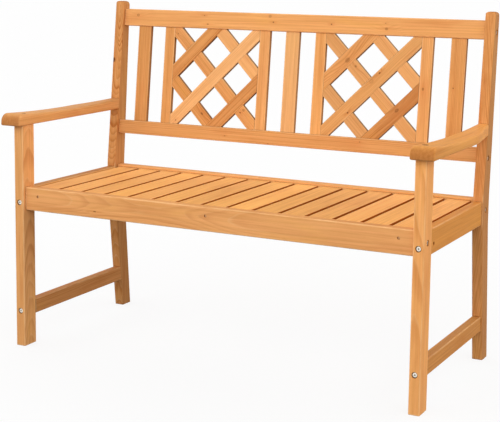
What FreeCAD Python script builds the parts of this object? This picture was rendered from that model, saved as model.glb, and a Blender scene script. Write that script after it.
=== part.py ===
"""Two-seat wooden garden bench with a slatted seat and a lattice back.

Millimetres, X to the right, Y to the back, Z up. While the pieces are made, Y is measured from the
front faces of the front legs; each piece is moved to the middle of the bounding box when it is saved.
Right-hand pieces are made first and mirrored for the left.
"""

import FreeCAD
import Part
import math
import os
from collections import namedtuple

from FreeCAD import Placement, Rotation, Vector

# Legs
leg_span = 1150.0
leg_thick = 28.0
front_leg_depth = 50.5
front_leg_height = 600.0
leg_edge = 2.5

# Back leg seen from the side: splayed foot, upright face at the side rail, leaning post
upright_below_rail = 3.0
upright_above_rail = 9.0
upright_depth = 51.0
foot_splay = 42.0
foot_depth = 41.5
back_angle = 6.15
post_above_rail = 21.3
post_top_depth = 32.2
bend_round = 40.0
post_front_round = 5.0
post_back_round = 14.0
post_side_round = 8.5

# Seat rails and stretchers
rail_height = 62.0
rail_edge = 3.0
apron_setback = 11.0
apron_thick = 25.0
apron_rise = 5.0
side_rail_length = 394.5
side_rail_thick = 24.0
side_rail_rise = 2.0
rear_rail_setback = 14.0
rear_rail_thick = 25.0
rear_rail_rise = 7.0
stretcher_low = 80.0
stretcher_height = 40.0

# Seat
seat_top = 429.0
slat_width = 63.0
slat_thick = 12.0
slat_gap_least = 8.0
slat_end_gap = 0.5
slat_edge = 2.0
batten_size = 22.0
batten_end_gap = 7.0
batten_edge = 1.5

# Arms
arm_nose = 25.0
arm_inner_overhang = 6.5
arm_end_overhang = 1.0
arm_front_width = 59.5
arm_straight = 308.0
arm_bend = 200.0
arm_end_width = 30.0
arm_end_thick = 31.0
arm_dish_depth = 7.0
arm_nose_round = 22.0
arm_edge = 6.0
arm_low_edge = 4.0

# Back, measured along the leaning posts from the top of their upright face
back_rail_setback = 10.0
back_rail_thick = 20.0
bottom_rail_low = 91.0
bottom_rail_height = 39.5
panel_height = 278.0
panel_width = 274.5
top_rail_height = 49.0
splat_width = 42.0
stile_width = 32.5
back_board_thick = 12.0
back_board_edge = 1.5
tenon_length = 12.0
bar_width = 35.75
bar_edge = 1.0
lattice_angle = 45.0
lattice_reach = 144.5

# Bolts and barrel nuts
bolt_dia = 6.0
bolt_head_dia = 13.0
bolt_head_height = 2.6
bolt_head_room = 2.0
bolt_past_nut = 6.0
socket_across = 4.0
socket_depth = 1.8
counterbore_depth = 5.0
nut_dia = 10.0
nut_length = 12.0
nut_inset = 26.0
nut_slot = 1.5
leg_bolt_out = 13.5
seat_bolt_up = 24.0
end_bolt_up = 32.0
stretcher_bolt_up = 16.0
arm_bolt_up = 12.0
arm_bolt_out = 19.5
bottom_rail_bolt_up = 13.0
top_rail_bolt_up = 19.0

# Dowels
dowel_dia = 8.0
dowel_length = 30.0
seat_dowel_down = 17.5
end_dowel_down = 10.5
stretcher_dowel_down = 10.0
bottom_rail_dowel_down = 10.0
top_rail_dowel_down = 12.0
arm_dowel_out = 5.5
arm_dowel_inset = 10.0

# Screws and pins
arm_screw_dia = 5.0
arm_screw_length = 60.0
arm_screw_head = 9.5
arm_hole_room = 2.5
arm_hole_depth = 8.0
batten_screw_dia = 3.5
batten_screw_head = 7.0
batten_hole_room = 0.6
batten_hole_depth = 3.0
batten_screw_inset = 39.0
batten_screw_down = 6.0
slat_screw_dia = 3.5
slat_screw_head = 7.0
slat_screw_aside = 14.0
screw_cover = 4.0
pin_dia = 1.6
pin_cover = 1.0

# Clearances
hole_clear = 0.3
dowel_clear = 0.2
hole_past_end = 1.0
tool_margin = 10.0

# Places across the bench
outer_face = leg_span / 2
inner_face = outer_face - leg_thick
leg_middle = outer_face - leg_thick / 2
leg_bolt_x = inner_face + leg_bolt_out
arm_inner = inner_face - arm_inner_overhang
arm_outer = arm_inner + arm_front_width
arm_end_inner = inner_face - arm_end_overhang
arm_end_outer = arm_end_inner + arm_end_width
slat_count = int((2 * inner_face - slat_gap_least) // (slat_width + slat_gap_least))
slat_gap = (2 * inner_face - slat_count * slat_width) / (slat_count + 1)
slat_pitch = slat_width + slat_gap
back_gap = (inner_face - 1.5 * splat_width - 2 * stile_width - panel_width) / 3
inner_stile_x = splat_width / 2 + back_gap
panel_left = inner_stile_x + stile_width
panel_middle = panel_left + panel_width / 2
outer_stile_x = panel_left + panel_width
side_splat_x = outer_stile_x + stile_width + back_gap

# Heights
slat_low = seat_top - slat_thick
apron_top = seat_top + apron_rise
apron_low = apron_top - rail_height
side_rail_top = seat_top + side_rail_rise
side_rail_low = side_rail_top - rail_height
rear_rail_top = seat_top + rear_rail_rise
rear_rail_low = rear_rail_top - rail_height
seat_bolt_z = side_rail_low + seat_bolt_up
seat_dowel_z = side_rail_top - seat_dowel_down
stretcher_bolt_z = stretcher_low + stretcher_bolt_up
stretcher_dowel_z = stretcher_low + stretcher_height - stretcher_dowel_down
arm_bolt_z = front_leg_height + arm_bolt_up
upright_low = side_rail_low - upright_below_rail
upright_high = side_rail_top + upright_above_rail

# Places up the leaning back
panel_low = bottom_rail_low + bottom_rail_height
panel_high = panel_low + panel_height
lattice_centre = (panel_low + panel_high) / 2
top_rail_top = panel_high + top_rail_height
back_rail_middle = back_rail_setback + back_rail_thick / 2
back_board_setback = back_rail_middle - back_board_thick / 2

# Places from front to back
apron_back = apron_setback + apron_thick
apron_middle = apron_setback + apron_thick / 2
upright_y = front_leg_depth + side_rail_length
rear_rail_y = upright_y + rear_rail_setback
rear_rail_middle = rear_rail_y + rear_rail_thick / 2
foot_front_y = upright_y + foot_splay
foot_back_y = foot_front_y + foot_depth
post_slope = math.tan(math.radians(back_angle))
post_top_z = upright_high + (top_rail_top + post_above_rail) * math.cos(math.radians(back_angle))
post_top_back_y = upright_y + post_slope * (post_top_z - upright_high) + post_top_depth
back_reach = max(foot_back_y, post_top_back_y)
middle_depth = (back_reach - arm_nose) / 2
batten_fronts = (
    apron_back,
    (apron_back + rear_rail_y - batten_size) / 2,
    rear_rail_y - batten_size,
)

along_x = Vector(1, 0, 0)
along_y = Vector(0, 1, 0)
along_z = Vector(0, 0, 1)

Bolt = namedtuple("Bolt", "entry along nut_run nut_way nut_mouth")
Dowel = namedtuple("Dowel", "middle along")
Screw = namedtuple("Screw", "mouth along hole_dia hole_depth head shank length")


def box(low_x, high_x, low_y, high_y, low_z, high_z):
    """Return a plain block between the given limits."""
    size = (high_x - low_x, high_y - low_y, high_z - low_z)
    return Part.makeBox(*size, Vector(low_x, low_y, low_z))


def rod(start, along, length, diameter):
    """Return a round bar."""
    return Part.makeCylinder(diameter / 2, length, start, along)


def edges_along(shape, way):
    """Return the straight edges of a shape that run along one direction."""
    found = []
    for edge in shape.Edges:
        run = edge.Vertexes[-1].Point - edge.Vertexes[0].Point
        if run.Length > 0 and run.cross(way).Length < 1e-4 * run.Length:
            found.append(edge)
    return found


def board(low_x, high_x, low_y, high_y, low_z, high_z, way, radius):
    """Return a block whose four long edges, which run along way, are eased."""
    block = box(low_x, high_x, low_y, high_y, low_z, high_z)
    return block.makeFillet(radius, edges_along(block, way))


def mirrored(shape):
    """Return the left-hand twin of a right-hand shape."""
    return shape.mirror(Vector(0, 0, 0), along_x)


def flip(vector):
    """Return the left-hand twin of a place or a direction."""
    return Vector(-vector.x, vector.y, vector.z)


def post_front(height):
    """Return how far back the front edge of the back leg is at a height."""
    if height < upright_low:
        return foot_front_y + (upright_y - foot_front_y) * height / upright_low
    return upright_y + post_slope * max(0.0, height - upright_high)


def post_back(height):
    """Return how far back the rear edge of the back leg is at a height."""
    upright_back = upright_y + upright_depth
    if height < upright_low:
        return foot_back_y + (upright_back - foot_back_y) * height / upright_low
    rise = (height - upright_high) / (post_top_z - upright_high)
    return upright_back + (post_top_back_y - upright_back) * max(0.0, rise)


def lean():
    """Return the placement that stands back pieces, made upright, along the leaning posts."""
    return Placement(Vector(0, upright_y, upright_high), Rotation(along_x, -back_angle))


def leaned(shape):
    """Return a back piece moved from its upright drawing to the lean of the posts."""
    return shape.transformed(lean().toMatrix(), True)


def leaned_point(across, behind, along):
    """Return a place on the back: across the bench, behind the post fronts, up along the posts."""
    return lean().multVec(Vector(across, behind, along))


def mirrored_joint(joint):
    """Return the left-hand twin of a right-hand joint."""
    vectors = {name: value for name, value in joint._asdict().items() if isinstance(value, Vector)}
    return joint._replace(**{name: flip(value) for name, value in vectors.items()})


def both_sides(joints):
    """Return joints of the right-hand side together with their left-hand twins."""
    return joints + [mirrored_joint(joint) for joint in joints]


def rear_bolt(across, height, nut_way, nut_mouth):
    """Return a bolt from the rear face of the back leg forwards into what butts against the leg."""
    entry = Vector(across, post_back(height), height)
    run = entry.y - post_front(height) + nut_inset
    return Bolt(entry, -along_y, run, nut_way, nut_mouth)


def leg_bolts():
    """List the bolts that run front to back, through the legs into side rails, stretchers and arms."""
    front_run = front_leg_depth + nut_inset
    nut_from_outside = side_rail_thick - leg_bolt_out
    return both_sides([
        Bolt(Vector(leg_bolt_x, 0, seat_bolt_z), along_y, front_run, -along_x, nut_from_outside),
        Bolt(Vector(leg_bolt_x, 0, stretcher_bolt_z), along_y, front_run, along_z, stretcher_bolt_up),
        rear_bolt(leg_bolt_x, seat_bolt_z, along_x, leg_bolt_out),
        rear_bolt(leg_bolt_x, stretcher_bolt_z, along_z, stretcher_bolt_up),
        rear_bolt(inner_face + arm_bolt_out, arm_bolt_z, along_z, arm_bolt_up),
    ])


def rail_bolts():
    """List the bolts that run across the bench, through the legs into the ends of the long rails."""
    run = leg_thick + nut_inset
    forward = lean().Rotation.multVec(-along_y)
    nut_from_behind = back_rail_thick / 2
    places = (
        (Vector(outer_face, apron_middle, apron_low + end_bolt_up), along_z, end_bolt_up),
        (Vector(outer_face, rear_rail_middle, rear_rail_low + end_bolt_up), along_z, end_bolt_up),
        (back_end(outer_face, bottom_rail_low + bottom_rail_bolt_up), forward, nut_from_behind),
        (back_end(outer_face, panel_high + top_rail_bolt_up), forward, nut_from_behind),
    )
    return both_sides([Bolt(entry, -along_x, run, way, mouth) for entry, way, mouth in places])


def back_end(across, along):
    """Return a place in the middle of a back rail's thickness."""
    return leaned_point(across, back_rail_middle, along)


def dowels():
    """List the wooden dowels, each centred where two boards meet."""
    across = (
        Vector(inner_face, apron_middle, apron_top - end_dowel_down),
        Vector(inner_face, rear_rail_middle, rear_rail_top - end_dowel_down),
        back_end(inner_face, panel_low - bottom_rail_dowel_down),
        back_end(inner_face, top_rail_top - top_rail_dowel_down),
    )
    lengthwise = (
        Vector(leg_bolt_x, front_leg_depth, seat_dowel_z),
        Vector(leg_bolt_x, upright_y, seat_dowel_z),
        Vector(leg_bolt_x, front_leg_depth, stretcher_dowel_z),
        Vector(leg_bolt_x, post_front(stretcher_dowel_z), stretcher_dowel_z),
        Vector(inner_face + arm_dowel_out, post_front(arm_bolt_z), arm_bolt_z),
    )
    upright = Vector(leg_middle, front_leg_depth - arm_dowel_inset, front_leg_height)
    found = [Dowel(place, along_x) for place in across]
    found += [Dowel(place, along_y) for place in lengthwise]
    return both_sides(found + [Dowel(upright, along_z)])


def arm_screws():
    """List the screws that hold the arms down on the front legs."""
    place_y = front_leg_depth / 2
    place = Vector(leg_middle, place_y, arm_top(place_y))
    hole_dia = arm_screw_head + arm_hole_room
    sizes = (hole_dia, arm_hole_depth, arm_screw_head, arm_screw_dia, arm_screw_length)
    return both_sides([Screw(place, -along_z, *sizes)])


def batten_screws():
    """List the screws through the apron and the rear rail into the front and rear battens."""
    height = slat_low - batten_screw_down
    side = inner_face - batten_screw_inset
    rails = (
        (apron_setback, along_y, apron_thick),
        (rear_rail_y + rear_rail_thick, -along_y, rear_rail_thick),
    )
    found = []
    for face, way, thick in rails:
        length = thick - batten_hole_depth + batten_size - screw_cover
        sizes = (batten_screw_head + batten_hole_room, batten_hole_depth, batten_screw_head, batten_screw_dia)
        for across in (-side, 0.0, side):
            found.append(Screw(Vector(across, face, height), way, *sizes, length))
    return found


def slat_screws():
    """List the screws from below through the battens into the slats."""
    length = batten_size + slat_thick - screw_cover
    sizes = (slat_screw_head, 0.0, slat_screw_head, slat_screw_dia, length)
    found = []
    for front in batten_fronts:
        for number in range(slat_count):
            across = slat_middle(number) + slat_screw_aside
            mouth = Vector(across, front + batten_size / 2, slat_low - batten_size)
            found.append(Screw(mouth, along_z, *sizes))
    return found


def bolt_nut_middle(bolt):
    """Return the middle of the barrel nut on a bolt."""
    return bolt.entry + bolt.along * bolt.nut_run


def bolt_tool(bolt):
    """Return what a bolt and its nut take away from the boards they join."""
    outside = bolt.entry - bolt.along * tool_margin
    seat = rod(outside, bolt.along, tool_margin + counterbore_depth, bolt_head_dia + bolt_head_room)
    reach = bolt.nut_run + bolt_past_nut + hole_past_end
    shank = rod(bolt.entry, bolt.along, reach, bolt_dia + hole_clear)
    deep = bolt.nut_mouth + nut_length / 2 + hole_past_end
    mouth = bolt_nut_middle(bolt) - bolt.nut_way * bolt.nut_mouth
    return seat.fuse([shank, rod(mouth, bolt.nut_way, deep, nut_dia + hole_clear)])


def bolt_solid(bolt):
    """Return a bolt with a low round head and a hexagon socket."""
    seat = bolt.entry + bolt.along * counterbore_depth
    head = rod(seat, -bolt.along, bolt_head_height, bolt_head_dia)
    top = seat - bolt.along * bolt_head_height
    rim = [edge for edge in head.Edges if edge.Closed and (edge.CenterOfMass - top).Length < 1e-6]
    head = head.makeFillet(0.6 * bolt_head_height, rim)
    length = bolt.nut_run + bolt_past_nut - counterbore_depth
    whole = head.fuse(rod(seat, bolt.along, length, bolt_dia)).removeSplitter()
    side = socket_across / math.sqrt(3)
    turned = Placement(top, Rotation(along_z, bolt.along))
    corners = [
        turned.multVec(Vector(side * math.cos(step * math.pi / 3), side * math.sin(step * math.pi / 3), 0))
        for step in range(6)
    ]
    hexagon = Part.Face(Part.makePolygon(corners + corners[:1]))
    return whole.cut(hexagon.extrude(bolt.along * socket_depth))


def nut_solid(bolt):
    """Return the barrel nut of a bolt: a short bar with a cross bore and a driver slot."""
    middle = bolt_nut_middle(bolt)
    end = middle - bolt.nut_way * (nut_length / 2)
    body = rod(end, bolt.nut_way, nut_length, nut_dia)
    bore = rod(middle - bolt.along * nut_dia, bolt.along, 2 * nut_dia, bolt_dia + hole_clear)
    slot = box(-nut_dia, nut_dia, -nut_slot / 2, nut_slot / 2, -nut_slot, nut_slot)
    slot = slot.transformed(Placement(end, Rotation(along_z, bolt.nut_way)).toMatrix(), True)
    return body.cut([bore, slot])


def dowel_tool(dowel):
    """Return the hole for a dowel, shared by the two boards it joins."""
    length = dowel_length + 2 * hole_past_end
    return rod(dowel.middle - dowel.along * (length / 2), dowel.along, length, dowel_dia + dowel_clear)


def dowel_solid(dowel):
    """Return a wooden dowel."""
    return rod(dowel.middle - dowel.along * (dowel_length / 2), dowel.along, dowel_length, dowel_dia)


def screw_shape(screw, extra, run_out):
    """Return a countersunk screw, or its hole when extra is added to its diameters."""
    seat = screw.mouth + screw.along * screw.hole_depth
    sink = (screw.head - screw.shank) / 2
    wide = (screw.head + extra) / 2
    thin = (screw.shank + extra) / 2
    cone = Part.makeCone(wide, thin, sink, seat, screw.along)
    straight = screw.length - sink - screw.shank + run_out
    shank = rod(seat + screw.along * sink, screw.along, straight, screw.shank + extra)
    tip = Part.makeCone(thin, thin / 4, screw.shank, seat + screw.along * (sink + straight), screw.along)
    return cone.fuse([shank, tip])


def screw_solid(screw):
    """Return one countersunk wood screw."""
    return screw_shape(screw, 0.0, 0.0).removeSplitter()


def screw_tool(screw):
    """Return the hole of a screw with the recess above its head."""
    hole = screw_shape(screw, hole_clear, hole_past_end)
    if screw.hole_depth == 0:
        return hole
    start = screw.mouth - screw.along * tool_margin
    return hole.fuse(rod(start, screw.along, tool_margin + screw.hole_depth, screw.hole_dia))


def slat_middle(number):
    """Return the middle of a seat slat across the bench."""
    return (number - (slat_count - 1) / 2) * slat_pitch


def front_leg():
    """Return the right front leg."""
    return board(
        inner_face, outer_face, 0, front_leg_depth, 0, front_leg_height, along_z, leg_edge)


def rounded_outline(points, radii):
    """Return a flat face through corner points, each corner rounded by its own radius."""
    entries = []
    exits = []
    crowns = []
    count = len(points)
    for index, (corner, radius) in enumerate(zip(points, radii)):
        arrive = corner - points[index - 1]
        leave = points[(index + 1) % count] - corner
        arrive.normalize()
        leave.normalize()
        half_turn = arrive.getAngle(leave) / 2
        inward = leave - arrive
        inward.normalize()
        entries.append(corner - arrive * (radius * math.tan(half_turn)))
        exits.append(corner + leave * (radius * math.tan(half_turn)))
        crowns.append(corner + inward * (radius / math.cos(half_turn) - radius))
    edges = []
    for index in range(count):
        if radii[index] > 0:
            edges.append(Part.Arc(entries[index], crowns[index], exits[index]).toShape())
        edges.append(Part.LineSegment(exits[index], entries[(index + 1) % count]).toShape())
    return Part.Face(Part.Wire(edges))


def back_leg():
    """Return the right back leg: one bent board, foot to post top, its top end rounded."""
    heights = (0.0, upright_low, upright_high, post_top_z)
    fronts = [Vector(inner_face, post_front(height), height) for height in heights]
    backs = [Vector(inner_face, post_back(height), height) for height in reversed(heights)]
    front_radii = [0.0, bend_round, bend_round, post_front_round]
    back_radii = [post_back_round, bend_round, bend_round, 0.0]
    leg = rounded_outline(fronts + backs, front_radii + back_radii).extrude(along_x * leg_thick)
    along_sides = [edge for edge in leg.Edges if edge.BoundBox.XLength < 1e-6]
    long_edges = [edge for edge in along_sides if edge.BoundBox.ZLength > leg_edge]
    return leg.makeFillet(leg_edge, long_edges).common(post_envelope())


def post_envelope():
    """Return a block over the back leg with its upper side corners rounded, to round the post's top."""
    block = box(inner_face, outer_face, 0, 2 * back_reach, 0, post_top_z)
    top = [edge for edge in edges_along(block, along_y) if edge.CenterOfMass.z > post_top_z / 2]
    return block.makeFillet(post_side_round, top)


def dish_circle():
    """Return the radius and the centre of the round that dishes the top of the arm, in its side view."""
    end_y = post_front(front_leg_height + arm_end_thick)
    radius = (end_y * end_y / 4 + arm_dish_depth * arm_dish_depth) / (2 * arm_dish_depth)
    lowest = front_leg_height + arm_end_thick - arm_dish_depth
    return radius, Vector(0, end_y / 2, lowest + radius)


def arm_top(place_y):
    """Return the height of the dished top of the arm at a distance behind the front legs' faces."""
    radius, centre = dish_circle()
    return centre.z - math.sqrt(radius * radius - (place_y - centre.y) ** 2)


def arm_side(place_y):
    """Return where the arm's outer side is: straight at first, then coming in to the post."""
    reach = max(0.0, place_y - arm_straight) / (post_front(front_leg_height) - arm_straight)
    return arm_outer - (arm_outer - arm_end_outer) * reach


def arm_plan():
    """Return the arm's outline from above as a tall block: straight inside, coming in at the outside.

    A round eases the corner where the outer side starts to come in.
    """
    far = upright_y + upright_depth
    turn = math.atan2(arm_outer - arm_end_outer, post_front(front_leg_height) - arm_straight)
    lead = arm_bend * math.tan(turn / 2)

    def outside(place_y):
        return Vector(arm_side(place_y), place_y, front_leg_height)

    inner_front = Vector(arm_inner, -arm_nose, front_leg_height)
    inner_far = Vector(arm_end_inner, far, front_leg_height)
    bend_start = outside(arm_straight - lead)
    bend_middle = bend_start + Vector(math.cos(turn / 2) - 1, math.sin(turn / 2), 0) * arm_bend
    bend_end = outside(arm_straight + lead * math.cos(turn))
    edges = [
        Part.LineSegment(inner_front, outside(-arm_nose)).toShape(),
        Part.LineSegment(outside(-arm_nose), bend_start).toShape(),
        Part.Arc(bend_start, bend_middle, bend_end).toShape(),
        Part.LineSegment(bend_end, outside(far)).toShape(),
        Part.LineSegment(outside(far), inner_far).toShape(),
        Part.LineSegment(inner_far, inner_front).toShape(),
    ]
    return Part.Face(Part.Wire(edges)).extrude(along_z * 2 * arm_end_thick)


def arm_profile():
    """Return the arm's side view as a wide block: flat below, dished on top, round at the nose.

    The round of the nose touches the front face and the dish without a corner.
    """
    dish_radius, dish_centre = dish_circle()
    nose_y = arm_nose_round - arm_nose
    between = dish_radius + arm_nose_round
    nose_z = dish_centre.z - math.sqrt(between * between - (dish_centre.y - nose_y) ** 2)
    nose_centre = Vector(0, nose_y, nose_z)
    to_dish = (dish_centre - nose_centre) * (1 / between)
    crown = to_dish - along_y
    crown.normalize()
    nose_start = nose_centre - along_y * arm_nose_round
    nose_end = nose_centre + to_dish * arm_nose_round
    nose_low = Vector(0, -arm_nose, front_leg_height)
    end_z = front_leg_height + arm_end_thick
    end_top = Vector(0, post_front(end_z), end_z)
    end_low = Vector(0, post_front(front_leg_height), front_leg_height)
    edges = [
        Part.LineSegment(nose_low, nose_start).toShape(),
        Part.Arc(nose_start, nose_centre + crown * arm_nose_round, nose_end).toShape(),
        Part.Arc(nose_end, dish_centre - along_z * dish_radius, end_top).toShape(),
        Part.LineSegment(end_top, end_low).toShape(),
        Part.LineSegment(end_low, nose_low).toShape(),
    ]
    return Part.Face(Part.Wire(edges)).extrude(along_x * leg_span)


def arm():
    """Return the right arm, eased up its front corners, over its nose and along its top and lower edges."""
    blank = arm_plan().common(arm_profile()).removeSplitter()
    corners = [edge for edge in edges_along(blank, along_z) if edge.CenterOfMass.y < 0]
    above = [edge for edge in blank.Edges if edge.BoundBox.ZMin > front_leg_height]
    sides = [edge for edge in above if edge.BoundBox.YLength > arm_edge]
    eased = blank.makeFillet(arm_edge, corners + sides)
    below = [edge for edge in eased.Edges if edge.BoundBox.ZMax < front_leg_height + arm_low_edge]
    rims = [edge for edge in below if edge.CenterOfMass.y < post_front(front_leg_height) - arm_low_edge]
    return eased.makeFillet(arm_low_edge, rims)


def front_apron():
    """Return the front seat rail."""
    return board(
        -inner_face, inner_face, apron_setback, apron_back,
        apron_low, apron_top, along_x, rail_edge)


def rear_seat_rail():
    """Return the rear seat rail."""
    return board(
        -inner_face, inner_face, rear_rail_y, rear_rail_y + rear_rail_thick,
        rear_rail_low, rear_rail_top, along_x, rail_edge)


def side_rail():
    """Return the right side rail."""
    return board(
        inner_face, inner_face + side_rail_thick, front_leg_depth, upright_y,
        side_rail_low, side_rail_top, along_y, rail_edge)


def stretcher():
    """Return the right stretcher, its rear end cut to the slope of the back leg."""
    high = stretcher_low + stretcher_height
    long_bar = board(
        inner_face, inner_face + side_rail_thick, front_leg_depth, foot_front_y,
        stretcher_low, high, along_y, rail_edge)
    points = [
        Vector(0, foot_front_y, 0),
        Vector(0, upright_y, upright_low),
        Vector(0, 2 * foot_front_y, upright_low),
        Vector(0, 2 * foot_front_y, 0),
    ]
    behind = Part.Face(Part.makePolygon(points + points[:1])).extrude(along_x * leg_span)
    return long_bar.cut(behind)


def seat_slat(number):
    """Return one seat slat."""
    left = slat_middle(number) - slat_width / 2
    return board(
        left, left + slat_width, apron_back + slat_end_gap, rear_rail_y - slat_end_gap,
        slat_low, seat_top, along_y, slat_edge)


def seat_batten(front):
    """Return one batten under the slats."""
    half = inner_face - batten_end_gap
    return board(
        -half, half, front, front + batten_size, slat_low - batten_size, slat_low, along_x, batten_edge)


def back_rail(low, height, mortise_low):
    """Return an upright back rail with mortises for slats and stiles."""
    behind = back_rail_setback + back_rail_thick
    rail = board(
        -inner_face, inner_face, back_rail_setback, behind, low, low + height, along_x, rail_edge)
    back = back_board_setback + back_board_thick
    mortises = [
        box(left, left + width, back_board_setback, back, mortise_low, mortise_low + tenon_length)
        for left, width in upright_places()
    ]
    return rail.cut(mortises)


def upright_places():
    """List the left edge and the width of every upright board of the back, left to right."""
    right = [(inner_stile_x, stile_width), (outer_stile_x, stile_width), (side_splat_x, splat_width)]
    left = [(-place - width, width) for place, width in reversed(right)]
    return left + [(-splat_width / 2, splat_width)] + right


def back_upright(left, width):
    """Return an upright board of the back with the tenons at its ends."""
    return board(
        left, left + width, back_board_setback, back_board_setback + back_board_thick,
        panel_low - tenon_length, panel_high + tenon_length, along_z, back_board_edge)


def lattice_strip(middle, rising, step, thick, setback, edge):
    """Return one sloping strip across a lattice panel, before it is cut to length."""
    half = panel_width + panel_height
    strip = box(-half, half, setback, setback + thick, -bar_width / 2, bar_width / 2)
    if edge > 0:
        strip = strip.makeFillet(edge, edges_along(strip, along_x))
    turn = -lattice_angle if rising else lattice_angle
    centre = Vector(middle, 0, lattice_centre + step * lattice_reach)
    return strip.transformed(Placement(centre, Rotation(along_y, turn)).toMatrix(), True)


def lattice_bar(middle, rising, step):
    """Return a lattice bar: rising bars are halved behind, falling bars are halved in front."""
    bar = lattice_strip(middle, rising, step, back_board_thick, back_board_setback, bar_edge)
    half = back_board_thick / 2
    notch_setback = back_board_setback + (half if rising else 0.0)
    opening = box(
        middle - panel_width / 2, middle + panel_width / 2,
        back_board_setback, back_board_setback + back_board_thick, panel_low, panel_high)
    notches = [lattice_strip(middle, not rising, other, half, notch_setback, 0.0) for other in (-1, 0, 1)]
    return bar.common(opening).cut(notches).removeSplitter()


def lattice_pins():
    """List the rear ends of the pins, one at the middle of each half lap, upright drawing."""
    rear = back_board_setback + back_board_thick
    half = lattice_reach / 2
    aside = half / math.tan(math.radians(lattice_angle))
    offsets = ((0, 0), (-aside, half), (aside, half), (-aside, -half), (aside, -half))
    return [
        Vector(side * panel_middle + across, rear, lattice_centre + along)
        for side in (-1, 1) for across, along in offsets
    ]


def pin_tools(extra):
    """Return the pins, or their holes when extra is added to the diameter."""
    length = back_board_thick - pin_cover
    return [leaned(rod(place, -along_y, length, pin_dia + extra)) for place in lattice_pins()]


def largest_solid(shape):
    """Return the shape's largest solid."""
    return max(shape.Solids, key=lambda solid: solid.Volume)


def side_boards():
    """Return the right-hand boards that have a left-hand twin, by name, before they are drilled."""
    return {
        "front_leg": front_leg(),
        "back_leg": back_leg(),
        "arm": arm(),
        "side_rail": side_rail(),
        "stretcher": stretcher(),
    }


def seat_and_back_boards():
    """Return the boards between the two sides by name, before they are drilled."""
    found = {"front_apron": front_apron(), "rear_seat_rail": rear_seat_rail()}
    for number in range(slat_count):
        found["seat_slat_%02d" % (number + 1)] = seat_slat(number)
    for name, front in zip(("front", "middle", "rear"), batten_fronts):
        found["seat_batten_" + name] = seat_batten(front)
    low_mortise = panel_low - tenon_length
    found["back_bottom_rail"] = leaned(back_rail(bottom_rail_low, bottom_rail_height, low_mortise))
    found["back_top_rail"] = leaned(back_rail(panel_high, top_rail_height, panel_high))
    upright_names = (
        "back_slat_left", "stile_left_outer", "stile_left_inner", "back_slat_middle",
        "stile_right_inner", "stile_right_outer", "back_slat_right",
    )
    for name, (left, width) in zip(upright_names, upright_places()):
        found[name] = leaned(back_upright(left, width))
    for side, sign in (("left", -1), ("right", 1)):
        middle = sign * panel_middle
        for place, step in (("low", -1), ("main", 0), ("high", 1)):
            found["lattice_%s_rising_%s" % (side, place)] = leaned(lattice_bar(middle, True, step))
            found["lattice_%s_falling_%s" % (side, place)] = leaned(lattice_bar(middle, False, step))
    return found


def drill(shape, tools):
    """Return a board with every hole that reaches it."""
    near = [tool for tool in tools if tool.BoundBox.intersect(shape.BoundBox)]
    if near:
        shape = shape.cut(near)
    return largest_solid(shape)


def save(name, shape):
    """Move a piece to the middle of the bounding box and write it."""
    placed = shape.copy()
    placed.translate(Vector(0, -middle_depth, 0))
    placed.exportStep("parts/%s.step" % name)


def main():
    """Make every piece, drill the boards and write one file for each node."""
    os.makedirs("parts", exist_ok=True)
    bolts_in_legs = leg_bolts()
    bolts_in_rails = rail_bolts()
    all_bolts = bolts_in_legs + bolts_in_rails
    screws = {"arm_screws": arm_screws(), "batten_screws": batten_screws(), "slat_screws": slat_screws()}
    tools = [bolt_tool(bolt) for bolt in all_bolts]
    tools += [dowel_tool(dowel) for dowel in dowels()]
    tools += [screw_tool(screw) for group in screws.values() for screw in group]
    tools += pin_tools(hole_clear)
    for name, shape in side_boards().items():
        drilled = drill(shape, tools)
        save(name + "_right", drilled)
        save(name + "_left", mirrored(drilled))
    for name, shape in seat_and_back_boards().items():
        save(name, drill(shape, tools))
    save("leg_bolts", Part.Compound([bolt_solid(bolt) for bolt in bolts_in_legs]))
    save("rail_bolts", Part.Compound([bolt_solid(bolt) for bolt in bolts_in_rails]))
    save("barrel_nuts", Part.Compound([nut_solid(bolt) for bolt in all_bolts]))
    save("dowels", Part.Compound([dowel_solid(dowel) for dowel in dowels()]))
    for name, group in screws.items():
        save(name, Part.Compound([screw_solid(screw) for screw in group]))
    save("lattice_pins", Part.Compound(pin_tools(0.0)))


main()
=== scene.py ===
"""Looks of a wooden garden bench with a lattice back.

The bench's solids come from the frame and keep their shape. This script gives every board its own growth
rings, fibres, knots, rubbed arrises with a painted highlight, tone of oil, and painted shade on its narrow
edges and in its joints, gives the steel its plating with painted shade in its recesses, and sets the bench
on a pale floor in soft light, seen from the photograph's side. Places and lamps are in metres, and the
grain is in millimetres.
"""
import logging
import math
from dataclasses import asdict, dataclass, field, replace
from enum import Enum
from typing import Sequence, Union

import bpy
import numpy as np
from mathutils import Matrix, Vector


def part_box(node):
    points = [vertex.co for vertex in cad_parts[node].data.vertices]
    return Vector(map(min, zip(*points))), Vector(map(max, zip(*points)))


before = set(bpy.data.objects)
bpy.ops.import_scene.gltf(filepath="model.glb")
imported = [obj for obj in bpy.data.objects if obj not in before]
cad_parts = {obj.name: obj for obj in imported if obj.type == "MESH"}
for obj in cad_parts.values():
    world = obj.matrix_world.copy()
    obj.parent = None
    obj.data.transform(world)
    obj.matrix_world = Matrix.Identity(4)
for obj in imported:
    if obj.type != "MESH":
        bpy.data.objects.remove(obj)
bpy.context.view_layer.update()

log = logging.getLogger("bench")

Pair = tuple[float, float]
Triple = tuple[float, float, float]
Value = Union["Signal", float, Sequence[float]]

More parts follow.
